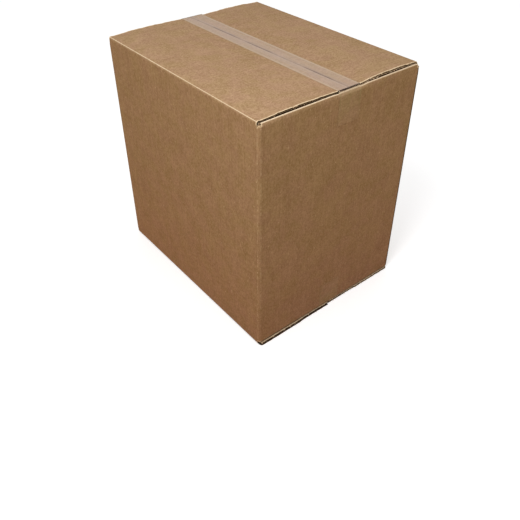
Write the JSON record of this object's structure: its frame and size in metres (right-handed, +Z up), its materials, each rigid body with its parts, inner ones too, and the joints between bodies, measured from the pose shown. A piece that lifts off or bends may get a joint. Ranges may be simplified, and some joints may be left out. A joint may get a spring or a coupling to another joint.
{
  "type": "closed cardboard box",
  "caption": "Plain slotted carton of corrugated board, its flaps folded shut and taped along the top and bottom seams.",
  "frame": {"origin": "middle of the box's base, on the surface that it stands on", "axes": "+X along the box's length and its seams, +Y across its width towards the long panel with the glued lap's corner, +Z up"},
  "size_m": [0.4652, 0.364, 0.4759],
  "materials": {
    "corrugated_board": "matt brown kraft facings, lighter where creased",
    "packing_tape": "thin translucent film, slightly glossy, on brown board"
  },
  "bodies": {
    "root": {"carton": "corrugated_board", "top_tape": "packing_tape", "bottom_tape": "packing_tape"}
  },
  "joints": []
}
